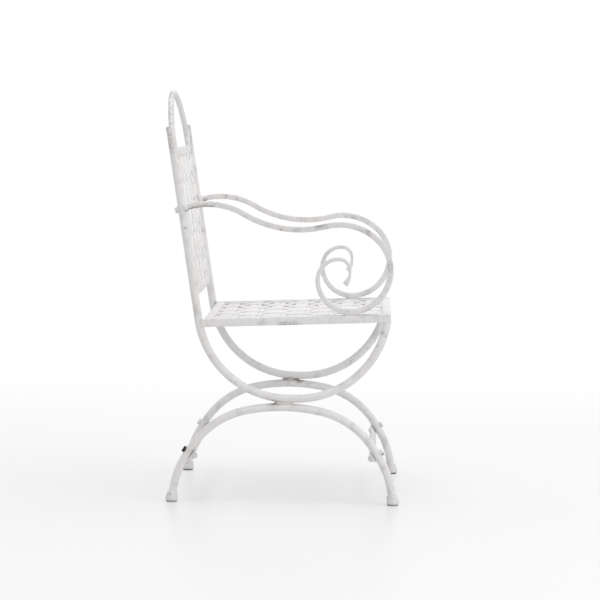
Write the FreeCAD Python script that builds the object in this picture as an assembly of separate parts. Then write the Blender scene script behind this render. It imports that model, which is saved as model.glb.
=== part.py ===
import FreeCAD, Part
import math
import os

# Wrought iron garden armchair, millimetres, +X to the front, +Y to the sitter's
# left, +Z up. The floor is Z = 0, and the origin lies under the middle of the
# leg arches, on the chair's plane of symmetry.

V = FreeCAD.Vector
os.makedirs("parts", exist_ok=True)

# Frame bars: round bar for posts, bowls and legs, square bar for the seat
frame_width = 500.0
bar_diameter = 18.0
rail_size = 18.0
bar_sagitta = 0.8

# Leg arch, one bent bar on each side
arch_crown_height = 217.5
arch_crown_radius = 400.0
arch_crown_half_angle = 12.0
arch_shoulder_radius = 192.5
leg_splay = 10.0

# Back post and bowl, one bent bar on each side; the top is a rise over the seat
post_lean = 9.1
post_top_rise = 422.0
post_top_chamfer = 3.0
bowl_radius = 205.0
bowl_flat = 17.0
bowl_centre_x = 18.5

# Saddle welded between the bowl and the arch
saddle_gap = 1.5
saddle_length = 40.0
saddle_width = 14.0
saddle_height = 8.0

# Seat frame
seat_height = 421.0
seat_tilt = 2.4
front_rail_x = 229.0
rear_rail_x = -172.0
rail_cope = 5.0

# Woven straps of the seat and the back
strap_width = 28.0
strap_thickness = 3.0
strap_gap = 0.1
strap_flat_margin = 0.5
seat_cross_straps = 7
seat_long_straps = 9
back_upright_straps = 9
back_level_straps = 5

# Flat bars across the back, and the rise of their middles over the seat
back_bar_height = 18.0
back_bar_thickness = 6.0
back_low_rise = 49.0
back_high_rise = 364.0

# Top hoop, round bar in the plane of the back
hoop_top_rise = 504.0
hoop_diameter = 13.0
hoop_half_width = 205.0
hoop_crown_radius = 290.0
hoop_shoulder_radius = 45.0

# Arms, forged scrolls: radius of each bend and the angle it turns through
arm_foot_gap = 1.5
arm_start_heading = 17.5
arm_bends = [
    (159.0, -47.5),
    (243.0, 45.0),
    (121.0, -60.0),
    (94.5, -65.0),
    (91.5, -70.0),
    (71.0, -90.0),
    (46.5, -90.0),
    (25.0, -80.0),
    (44.5, -15.0),
    (44.5, -35.0),
]
# Arm section, width across the arm and height in its plane, where each bend ends
arm_sizes = [
    (16.0, 12.5),
    (16.0, 12.5),
    (16.0, 12.5),
    (16.0, 13.0),
    (16.0, 13.0),
    (16.0, 12.0),
    (16.0, 10.0),
    (16.0, 8.0),
    (16.0, 6.5),
    (12.0, 6.0),
    (17.0, 13.0),
]
arm_sagitta = 0.3
arm_collar_diameter = 22.0
arm_collar_thickness = 4.0
arm_saddle_length = 26.0
arm_saddle_width = 12.0
arm_saddle_height = 5.0

# Cross stretchers between the legs, flat bar on the inner side of the arch
stretcher_height = 113.0
stretcher_width = 22.0
stretcher_thickness = 5.0

# Bolts and nuts
bolt_diameter = 8.0
bolt_clearance = 0.4
bolt_overhang = 2.0
hex_flats = 13.0
head_thickness = 5.5
nut_thickness = 6.5
washer_diameter = 17.0
washer_thickness = 1.6

# Foot caps
foot_diameter = 28.0
foot_top_diameter = 24.0
foot_height = 22.0
foot_sole = 6.0
foot_edge = 1.5

sides = [("left", 1.0), ("right", -1.0)]
bar_radius = bar_diameter / 2.0
half_width = frame_width / 2.0


pieces = {}


def keep(name, shape):
    """Add one finished sub-part of the chair under its name."""
    pieces[name] = shape


def bend_path(x, z, heading, moves, sagitta):
    """Stations (point, heading) along straight runs and tangent bends in the XZ plane.

    Each move is (length, 0) for a straight run or (radius, turn) for a bend. A
    bend is divided so that no chord leaves its arc by more than the sagitta.
    Headings and turns are in degrees, anticlockwise as seen from the right. Also
    returns the number of the station where each move ends.
    """
    stations = [(V(x, 0, z), heading)]
    ends = []
    for size, turn in moves:
        here, heading = stations[-1]
        angle = math.radians(heading)
        if turn == 0:
            end = here + V(math.cos(angle), 0, math.sin(angle)) * size
            stations.append((end, heading))
        else:
            radius = math.copysign(size, turn)
            centre = here + V(-math.sin(angle), 0, math.cos(angle)) * radius
            widest_step = 2.0 * math.degrees(math.acos(1.0 - sagitta / size))
            steps = math.ceil(abs(turn) / widest_step)
            for i in range(steps):
                now = heading + turn * (i + 1) / steps
                a = math.radians(now)
                stations.append((centre - V(-math.sin(a), 0, math.cos(a)) * radius, now))
        ends.append(len(stations) - 1)
    return stations, ends


def set_across(outline, station):
    """Put an outline, drawn in the YZ plane about the origin, across a path."""
    point, heading = station
    turn = FreeCAD.Rotation(V(0, 1, 0), -heading)
    outline.Placement = FreeCAD.Placement(point, turn)
    return outline


def round_bar(x, z, heading, moves, diameter):
    """Bar of round section: a cylinder for each straight run, a loft for each bend."""
    stations, ends = bend_path(x, z, heading, moves, bar_sagitta)
    runs = []
    first = 0
    for (size, turn), last in zip(moves, ends):
        point, here = stations[first]
        if turn == 0:
            along = stations[last][0] - point
            runs.append(Part.makeCylinder(diameter / 2.0, size, point, along))
        else:
            rings = []
            for station in stations[first:last + 1]:
                circle = Part.Circle(V(0, 0, 0), V(1, 0, 0), diameter / 2.0)
                rings.append(set_across(Part.Wire(circle.toShape()), station))
            runs.append(Part.makeLoft(rings, True, True))
        first = last
    return runs[0].multiFuse(runs[1:])


def rectangle(width, height):
    """Rectangle in the YZ plane about the origin."""
    y = width / 2.0
    z = height / 2.0
    return Part.makePolygon([V(0, -y, -z), V(0, y, -z), V(0, y, z), V(0, -y, z), V(0, -y, -z)])


def at_side(shape, side):
    """Copy of a right-hand or left-hand piece, moved out to its side frame."""
    copy = shape.copy()
    copy.translate(V(0, side * half_width, 0))
    return copy


def hexagon(flats, thickness, base, direction):
    """Hexagonal prism standing on a point along a direction."""
    corner = flats / math.sqrt(3.0)
    points = []
    for i in range(7):
        a = math.radians(60 * i)
        points.append(V(corner * math.cos(a), corner * math.sin(a), 0))
    prism = Part.Face(Part.makePolygon(points)).extrude(V(0, 0, thickness))
    prism.Placement = FreeCAD.Placement(base, FreeCAD.Rotation(V(0, 0, 1), direction))
    return prism


# Leg arch: crown, shoulders with a short straight spot where the stretcher is
# bolted on, and two splayed legs down into the foot caps
crown_half = math.radians(arch_crown_half_angle)
crown_end_x = arch_crown_radius * math.sin(crown_half)
crown_end_z = arch_crown_height - arch_crown_radius * (1.0 - math.cos(crown_half))
shoulder_x = crown_end_x - arch_shoulder_radius * math.sin(crown_half)
shoulder_z = crown_end_z - arch_shoulder_radius * math.cos(crown_half)
spot_reach = math.hypot(arch_shoulder_radius, stretcher_width / 2.0)
spot_slope = math.atan(stretcher_width / 2.0 / arch_shoulder_radius)
stretcher_angle = math.asin((stretcher_height - shoulder_z) / spot_reach) + spot_slope
spot_along = V(math.sin(stretcher_angle), 0, -math.cos(stretcher_angle)) * stretcher_width
splay = math.radians(leg_splay)
leg_start_x = shoulder_x + spot_along.x + arch_shoulder_radius * math.cos(splay)
leg_start_z = shoulder_z + spot_along.z + arch_shoulder_radius * math.sin(splay)
leg_length = leg_start_z / math.cos(splay)
foot_x = leg_start_x + leg_start_z * math.tan(splay)
low_turn = math.degrees(stretcher_angle) - leg_splay
high_turn = 90.0 - arch_crown_half_angle - math.degrees(stretcher_angle)

arch = round_bar(-foot_x, 0.0, 90.0 - leg_splay, [
    (leg_length, 0),
    (arch_shoulder_radius, -low_turn),
    (stretcher_width, 0),
    (arch_shoulder_radius, -high_turn),
    (arch_crown_radius, -2.0 * arch_crown_half_angle),
    (arch_shoulder_radius, -high_turn),
    (stretcher_width, 0),
    (arch_shoulder_radius, -low_turn),
    (leg_length, 0),
], bar_diameter)
reach = 4.0 * foot_x
below_sole = Part.makeBox(reach, reach, reach, V(-reach / 2.0, -reach / 2.0, foot_sole - reach))
below_floor = Part.makeBox(reach, reach, reach, V(-reach / 2.0, -reach / 2.0, -reach))
arch = arch.cut(below_sole)

# Stretcher stations on the shoulders, and the bolt holes in the legs
inner_radius = arch_shoulder_radius - bar_radius
outer_radius = arch_shoulder_radius + bar_radius
stretcher_back = inner_radius - stretcher_thickness
bolt_hole = bolt_diameter + bolt_clearance


def stretcher_frame(end):
    """Point level with the middle of a straight spot, and the outward direction."""
    centre = V(end * (shoulder_x + spot_along.x / 2.0), 0, shoulder_z + spot_along.z / 2.0)
    outward = V(end * math.cos(stretcher_angle), 0, math.sin(stretcher_angle))
    return centre, outward


for end in (1.0, -1.0):
    centre, outward = stretcher_frame(end)
    start = centre + outward * (stretcher_back - bolt_diameter)
    length = outer_radius - stretcher_back + 2.0 * bolt_diameter
    arch = arch.cut(Part.makeCylinder(bolt_hole / 2.0, length, start, outward))

for name, side in sides:
    keep(name + "_leg_arch", at_side(arch, side))

for name, end in (("front", 1.0), ("rear", -1.0)):
    centre, outward = stretcher_frame(end)
    bar = Part.makeBox(stretcher_thickness, frame_width + bar_diameter, stretcher_width)
    bar.translate(V(stretcher_back, -half_width - bar_radius, -stretcher_width / 2.0))
    turn = FreeCAD.Rotation(V(1, 0, 0), outward)
    bar.Placement = FreeCAD.Placement(centre, turn).multiply(bar.Placement)
    for side in (1.0, -1.0):
        start = centre + V(0, side * half_width, 0) + outward * (stretcher_back - 1.0)
        length = stretcher_thickness + 2.0
        bar = bar.cut(Part.makeCylinder(bolt_hole / 2.0, length, start, outward))
    keep(name + "_stretcher", bar)

# Stretcher bolts, heads outside the legs and nuts under the flat bars
bolts = []
nuts = []
for end in (1.0, -1.0):
    centre, outward = stretcher_frame(end)
    for side in (1.0, -1.0):
        axis = centre + V(0, side * half_width, 0)
        shank_start = stretcher_back - nut_thickness - bolt_overhang
        shank_length = outer_radius - shank_start
        shank_end = axis + outward * shank_start
        shank = Part.makeCylinder(bolt_diameter / 2.0, shank_length, shank_end, outward)
        head = hexagon(hex_flats, head_thickness, axis + outward * outer_radius, outward)
        bolts.append(shank.fuse(head))
        nut_face = axis + outward * stretcher_back
        nut = hexagon(hex_flats, nut_thickness, nut_face, outward * -1.0)
        nuts.append(nut.cut(shank))
keep("stretcher_bolts", Part.makeCompound(bolts))
keep("stretcher_nuts", Part.makeCompound(nuts))

# Foot caps, turned cups pressed on the leg ends and flat on the floor
for end_name, end in (("front", 1.0), ("rear", -1.0)):
    up = V(-end * math.sin(splay), 0, math.cos(splay))
    foot = V(end * foot_x, 0, 0)
    drop = foot_diameter * math.sin(splay)
    profile = Part.makePolygon([
        V(0, 0, -drop),
        V(foot_diameter / 2.0, 0, -drop),
        V(foot_diameter / 2.0, 0, foot_height * 0.4),
        V(foot_top_diameter / 2.0, 0, foot_height - foot_edge),
        V(foot_top_diameter / 2.0 - foot_edge, 0, foot_height),
        V(0, 0, foot_height),
        V(0, 0, -drop),
    ])
    cup = Part.Face(profile).revolve(V(0, 0, 0), V(0, 0, 1), 360)
    cup.Placement = FreeCAD.Placement(foot, FreeCAD.Rotation(V(0, 0, 1), up))
    cup = cup.cut(below_floor).cut(arch)
    for name, side in sides:
        keep(name + "_" + end_name + "_foot_cap", at_side(cup, side))

# Back post and bowl in one bar, cut off square under the seat rail
lean = math.radians(post_lean)
bowl_bottom = arch_crown_height + bar_diameter + saddle_gap
bowl_centre_z = bowl_bottom + bowl_radius
post_foot_x = bowl_centre_x - bowl_flat / 2.0 - bowl_radius * math.cos(lean)
post_foot_z = bowl_centre_z - bowl_radius * math.sin(lean)
post_top_height = seat_height + post_top_rise
post_length = (post_top_height - post_foot_z) / math.cos(lean)
post_top_x = post_foot_x - post_length * math.sin(lean)
post = round_bar(post_top_x, post_top_height, post_lean - 90.0, [
    (post_length, 0),
    (bowl_radius, 90.0 - post_lean),
    (bowl_flat, 0),
    (bowl_radius, 90.0),
    (seat_height, 0),
], bar_diameter)
post_top = V(post_top_x, 0, post_top_height)

seat_place = FreeCAD.Placement(V(0, 0, seat_height), FreeCAD.Rotation(V(0, 1, 0), -seat_tilt))
over_rail = Part.makeBox(2.0 * bowl_radius, reach, 2.0 * seat_height)
over_rail.translate(V(bowl_centre_x, -reach / 2.0, -rail_size))
over_rail.Placement = seat_place.multiply(over_rail.Placement)
post = post.cut(over_rail)
top_edge = min(post.Edges, key=lambda edge: (edge.CenterOfMass - post_top).Length)
post = post.makeChamfer(post_top_chamfer, [top_edge])
posts = {name: at_side(post, side) for name, side in sides}

# Arm collar and bolt line where the arm meets the front of the post, at the
# height that stands the foot of the scroll on its saddle over the seat rail
arm_heading = math.radians(arm_start_heading)
arm_out = V(math.cos(arm_heading), 0, math.sin(arm_heading))
collar_face = bar_radius + arm_collar_thickness
trial_stations, arm_ends = bend_path(0.0, 0.0, arm_start_heading, arm_bends, arm_sagitta)
foot_bend = 4
foot_offset = trial_stations[arm_ends[foot_bend]][0] + arm_out * collar_face
foot_half_height = arm_sizes[foot_bend + 1][1] / 2.0
rise = math.tan(math.radians(seat_tilt))
foot_at_ground = post_foot_x + post_foot_z * math.tan(lean) + foot_offset.x
arm_level = seat_height + arm_foot_gap + foot_half_height - foot_offset.z
arm_start_height = (arm_level + rise * foot_at_ground) / (1.0 + rise * math.tan(lean))
arm_axis_x = post_foot_x - (arm_start_height - post_foot_z) * math.tan(lean)
arm_root = V(arm_axis_x, 0, arm_start_height)
arm_start = arm_root + arm_out * collar_face

arm_hole_start = arm_root - arm_out * (2.0 * bar_diameter)
arm_hole = Part.makeCylinder(bolt_hole / 2.0, 2.0 * bar_diameter + bar_radius, arm_hole_start, arm_out)
for name, side in sides:
    posts[name] = posts[name].cut(at_side(arm_hole, side))
    keep(name + "_back_post", posts[name])

# Saddle between the bottom of the bowl and the crown of the arch
saddle_z = arch_crown_height + bar_radius + saddle_gap / 2.0
saddle = Part.makeBox(saddle_length, saddle_width, saddle_height)
saddle.translate(V(-saddle_length / 2.0, -saddle_width / 2.0, saddle_z - saddle_height / 2.0))
saddle = saddle.cut(arch).cut(post)
for name, side in sides:
    keep(name + "_bowl_saddle", at_side(saddle, side))

# Arm: tangent bends from the collar, drawn out thinner to the waist of the curl
# and flared again to the fishtail
arm_stations, arm_ends = bend_path(
    arm_start.x, arm_start.z, arm_start_heading, arm_bends, arm_sagitta
)
knots = [0] + arm_ends
arm_sections = []
for i, (near_size, far_size) in enumerate(zip(arm_sizes, arm_sizes[1:])):
    first = knots[i]
    last = knots[i + 1]
    for k in range(first, last):
        share = (k - first) / (last - first)
        width = near_size[0] + (far_size[0] - near_size[0]) * share
        height = near_size[1] + (far_size[1] - near_size[1]) * share
        arm_sections.append(set_across(rectangle(width, height), arm_stations[k]))
arm_sections.append(set_across(rectangle(*arm_sizes[-1]), arm_stations[-1]))
# The arm is forged in three lengths, welded end to end where the bends change
arm_welds = [0, arm_ends[2], arm_ends[5], arm_ends[-1]]
arm_lengths = []
for first, last in zip(arm_welds, arm_welds[1:]):
    arm_lengths.append(Part.makeLoft(arm_sections[first:last + 1], True, True))
arm = Part.makeCompound(arm_lengths)
keep("left_arm", at_side(arm, 1.0))
keep("right_arm", at_side(arm, -1.0))

# Arm collars, coped to the round post, with a bolt from behind through both
collar = Part.makeCylinder(arm_collar_diameter / 2.0, collar_face, arm_root, arm_out)
collar = collar.cut(post).cut(arm_hole)
collar = max(collar.Solids, key=lambda solid: solid.CenterOfMass.x)
bolt_rear = arm_root - arm_out * (bar_radius + washer_thickness)
arm_bolt_length = 2.0 * bar_radius + washer_thickness
arm_bolt = Part.makeCylinder(bolt_diameter / 2.0, arm_bolt_length, bolt_rear, arm_out)
arm_bolt = arm_bolt.fuse(hexagon(hex_flats, head_thickness, bolt_rear, arm_out * -1.0))
washer_depth = washer_thickness + bar_radius
washer_plate = Part.makeCylinder(washer_diameter / 2.0, washer_depth, bolt_rear, arm_out)
washer_plate = washer_plate.cut(post).cut(arm_hole)
washer_plate = min(washer_plate.Solids, key=lambda solid: solid.CenterOfMass.x)
keep("arm_collars", Part.makeCompound([at_side(collar, side) for name, side in sides]))
keep("arm_bolts", Part.makeCompound([at_side(arm_bolt, side) for name, side in sides]))
keep("arm_washers", Part.makeCompound([at_side(washer_plate, side) for name, side in sides]))

# Seat frame: four square bars, mitred in front, coped to the posts behind
outer_y = half_width + rail_size / 2.0
inner_y = half_width - rail_size / 2.0
rail_front = front_rail_x + rail_size / 2.0
rail_inside = front_rail_x - rail_size / 2.0
post_foot_on_seat = seat_place.inverse().multVec(V(post_foot_x, 0, post_foot_z))
lean_on_seat = lean - math.radians(seat_tilt)
under_rail = -rail_size - post_foot_on_seat.z
post_at_seat = post_foot_on_seat.x - under_rail * math.tan(lean_on_seat)
rail_back = post_at_seat + bar_radius / math.cos(lean_on_seat) - rail_cope


def plate(corners, bottom, top):
    """Flat plate with the given corners in its own plane."""
    outline = Part.makePolygon([V(x, y, bottom) for x, y in corners + corners[:1]])
    return Part.Face(outline).extrude(V(0, 0, top - bottom))


side_rail = plate([
    (rail_back, -rail_size / 2.0),
    (rail_inside, -rail_size / 2.0),
    (rail_front, rail_size / 2.0),
    (rail_back, rail_size / 2.0),
], -rail_size, 0.0)
for name, side in sides:
    rail = side_rail if side > 0 else side_rail.mirror(V(0, 0, 0), V(0, 1, 0))
    rail = at_side(rail, side)
    rail.Placement = seat_place.multiply(rail.Placement)
    keep(name + "_seat_rail", rail.cut(at_side(post, side)))

front_rail = plate([
    (rail_inside, -inner_y),
    (rail_front, -outer_y),
    (rail_front, outer_y),
    (rail_inside, inner_y),
], -rail_size, 0.0)
front_rail.Placement = seat_place
keep("front_seat_rail", front_rail)
rear_inside = rear_rail_x + rail_size / 2.0
rear_rail = plate([
    (rear_rail_x - rail_size / 2.0, -inner_y),
    (rear_inside, -inner_y),
    (rear_inside, inner_y),
    (rear_rail_x - rail_size / 2.0, inner_y),
], -rail_size, 0.0)
rear_rail.Placement = seat_place
keep("rear_seat_rail", rear_rail)

# Saddle between the foot of the arm scroll and the seat rail
foot_x_on_rail = arm_stations[arm_ends[foot_bend]][0].x
arm_saddle = Part.makeBox(arm_saddle_length, arm_saddle_width, arm_saddle_height)
arm_saddle.translate(V(foot_x_on_rail - arm_saddle_length / 2.0, -arm_saddle_width / 2.0, 0))
arm_saddle.Placement = seat_place.multiply(arm_saddle.Placement)
arm_saddle = arm_saddle.cut(arm)
arm_saddle = min(arm_saddle.Solids, key=lambda solid: solid.CenterOfMass.z)
for name, side in sides:
    keep(name + "_arm_saddle", at_side(arm_saddle, side))


# Woven straps: each one rises over and dips under the straps that it meets
weave_lift = (strap_thickness + strap_gap) / 2.0
flat_half = strap_width / 2.0 + strap_flat_margin


def wave(start, end, crossings, first):
    """Middle line of a woven strap: level over each crossing, sloped between."""
    knots = [(start, 0.0)]
    for i, place in enumerate(crossings):
        level = weave_lift if (i + first) % 2 == 0 else -weave_lift
        knots.append((place - flat_half, level))
        knots.append((place + flat_half, level))
    knots.append((end, 0.0))
    return knots


def woven_strap(start, end, crossings, first):
    """Strap along X from start to end, centred on Y = 0."""
    half = strap_thickness / 2.0
    middle = wave(start, end, crossings, first)
    upper = [V(x, 0, z + half) for x, z in middle]
    lower = [V(x, 0, z - half) for x, z in reversed(middle)]
    outline = Part.makePolygon(upper + lower + upper[:1])
    strap = Part.Face(outline).extrude(V(0, strap_width, 0))
    strap.translate(V(0, -strap_width / 2.0, 0))
    return strap


def spread(low, high, count):
    """Middles of straps spread evenly over an opening."""
    pitch = (high - low) / count
    return [low + pitch * (i + 0.5) for i in range(count)]


# Seat weave, flush with the tops of the rails
weave_drop = weave_lift + strap_thickness / 2.0
cross_places = spread(rear_inside, rail_inside, seat_cross_straps)
long_places = spread(-inner_y, inner_y, seat_long_straps)
weave_place = seat_place.multiply(FreeCAD.Placement(V(0, 0, -weave_drop), FreeCAD.Rotation()))
for i, y in enumerate(long_places):
    strap = woven_strap(rear_inside, rail_inside, cross_places, i)
    strap.translate(V(0, y, 0))
    strap.Placement = weave_place.multiply(strap.Placement)
    keep("seat_long_strap_" + str(i + 1), strap)
for i, x in enumerate(cross_places):
    strap = woven_strap(-inner_y, inner_y, long_places, i + 1)
    strap.rotate(V(0, 0, 0), V(0, 0, 1), 90)
    strap.translate(V(x, 0, 0))
    strap.Placement = weave_place.multiply(strap.Placement)
    keep("seat_cross_strap_" + str(i + 1), strap)

# Plane of the back: X across the chair, Z up along the posts, -Y to the front
back_turn = FreeCAD.Rotation(V(0, 1, 0), V(0, 0, 0), V(-math.sin(lean), 0, math.cos(lean)), "XZY")
back_place = FreeCAD.Placement(V(post_foot_x, 0, post_foot_z), back_turn)


def up_the_back(height):
    """Distance along the post from the bowl to a height above the floor."""
    return (height - post_foot_z) / math.cos(lean)


bars = {}
back_low_height = seat_height + back_low_rise
back_high_height = seat_height + back_high_rise
for name, height in (("low", back_low_height), ("high", back_high_height)):
    middle = up_the_back(height)
    bar = Part.makeBox(frame_width - bar_radius, back_bar_thickness, back_bar_height)
    bar_end = -half_width + bar_radius / 2.0
    bar.translate(V(bar_end, -back_bar_thickness / 2.0, middle - back_bar_height / 2.0))
    bar.Placement = back_place.multiply(bar.Placement)
    bars[name] = bar.cut(at_side(post, 1.0)).cut(at_side(post, -1.0))
keep("lower_back_bar", bars["low"])
keep("upper_back_bar", bars["high"])

# Back weave between the posts and the two bars
weave_low = up_the_back(back_low_height) + back_bar_height / 2.0
weave_high = up_the_back(back_high_height) - back_bar_height / 2.0
post_inside = half_width - bar_radius
level_places = spread(weave_low, weave_high, back_level_straps)
upright_places = spread(-post_inside, post_inside, back_upright_straps)
for i, x in enumerate(upright_places):
    strap = woven_strap(weave_low, weave_high, level_places, i)
    strap.rotate(V(0, 0, 0), V(0, 0, 1), 90)
    strap.rotate(V(0, 0, 0), V(1, 0, 0), 90)
    strap.translate(V(x, 0, 0))
    strap.Placement = back_place.multiply(strap.Placement)
    keep("back_upright_strap_" + str(i + 1), strap)
for i, z in enumerate(level_places):
    strap = woven_strap(-post_inside, post_inside, upright_places, i + 1)
    strap.rotate(V(0, 0, 0), V(1, 0, 0), 90)
    strap.translate(V(0, 0, z))
    strap.Placement = back_place.multiply(strap.Placement)
    keep("back_level_strap_" + str(i + 1), strap)

# Top hoop, welded on the upper bar just inside the posts
hoop_radius = hoop_diameter / 2.0
hoop_top = up_the_back(seat_height + hoop_top_rise)
crown_centre = hoop_top - hoop_radius - hoop_crown_radius
hoop_shoulder_x = hoop_half_width - hoop_shoulder_radius
centre_gap = hoop_crown_radius - hoop_shoulder_radius
hoop_shoulder_z = crown_centre + math.sqrt(centre_gap ** 2 - hoop_shoulder_x ** 2)
hoop_crown_half = math.degrees(math.asin(hoop_shoulder_x / centre_gap))
hoop_foot = up_the_back(back_high_height) + back_bar_height / 2.0
hoop = round_bar(-hoop_half_width, hoop_foot, 90.0, [
    (hoop_shoulder_z - hoop_foot, 0),
    (hoop_shoulder_radius, hoop_crown_half - 90.0),
    (hoop_crown_radius, -2.0 * hoop_crown_half),
    (hoop_shoulder_radius, hoop_crown_half - 90.0),
    (hoop_shoulder_z - hoop_foot, 0),
], hoop_diameter)
hoop.Placement = back_place.multiply(hoop.Placement)
keep("top_hoop", hoop)

# Write the pieces, with the origin on the floor under the middle of the whole chair
boxes = [shape.optimalBoundingBox(False) for shape in pieces.values()]
middle_x = (min(box.XMin for box in boxes) + max(box.XMax for box in boxes)) / 2.0
for name, shape in pieces.items():
    shape.translate(V(-middle_x, 0, 0))
    shape.exportStep("parts/" + name + ".step")
print("pieces", len(pieces), "origin moved by", round(-middle_x, 3), "mm along X")
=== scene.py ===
import math
import random

import bmesh
import bpy
from mathutils import Matrix, Vector


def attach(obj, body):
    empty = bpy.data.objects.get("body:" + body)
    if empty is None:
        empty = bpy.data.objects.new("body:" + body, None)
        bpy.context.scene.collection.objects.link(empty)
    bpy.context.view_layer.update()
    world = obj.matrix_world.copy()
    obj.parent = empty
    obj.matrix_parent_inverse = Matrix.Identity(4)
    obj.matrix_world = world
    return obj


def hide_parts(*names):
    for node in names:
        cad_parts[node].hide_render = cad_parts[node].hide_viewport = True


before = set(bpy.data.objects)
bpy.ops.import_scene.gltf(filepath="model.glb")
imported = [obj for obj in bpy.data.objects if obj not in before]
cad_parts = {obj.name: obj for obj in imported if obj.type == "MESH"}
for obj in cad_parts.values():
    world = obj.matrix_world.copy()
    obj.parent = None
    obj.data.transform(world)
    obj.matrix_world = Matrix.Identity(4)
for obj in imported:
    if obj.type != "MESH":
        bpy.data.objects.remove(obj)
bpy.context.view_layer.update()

scene = bpy.context.scene

# Leg arches. One round iron bar on each side, bent cold over a former into a
# low crown, two shoulders and two splayed legs, with a short straight spot in
# each shoulder for the stretcher. Brushed with antique white paint.
half_width = 0.250
bar_thickness = 0.018
middle_x = 0.00783
arch_crown_height = 0.2175
arch_crown_radius = 0.400
arch_crown_half = 12.0
arch_shoulder_radius = 0.1925
leg_splay = 10.0
stretcher_height = 0.113
stretcher_width = 0.022
foot_sole = 0.006
sides = {"left": 1.0, "right": -1.0}
ends = {"front": 1.0, "rear": -1.0}
merge_distance = 0.000005
sharp_corner = math.radians(38.0)
run_step = 0.012
bend_step = 3.0


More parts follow.
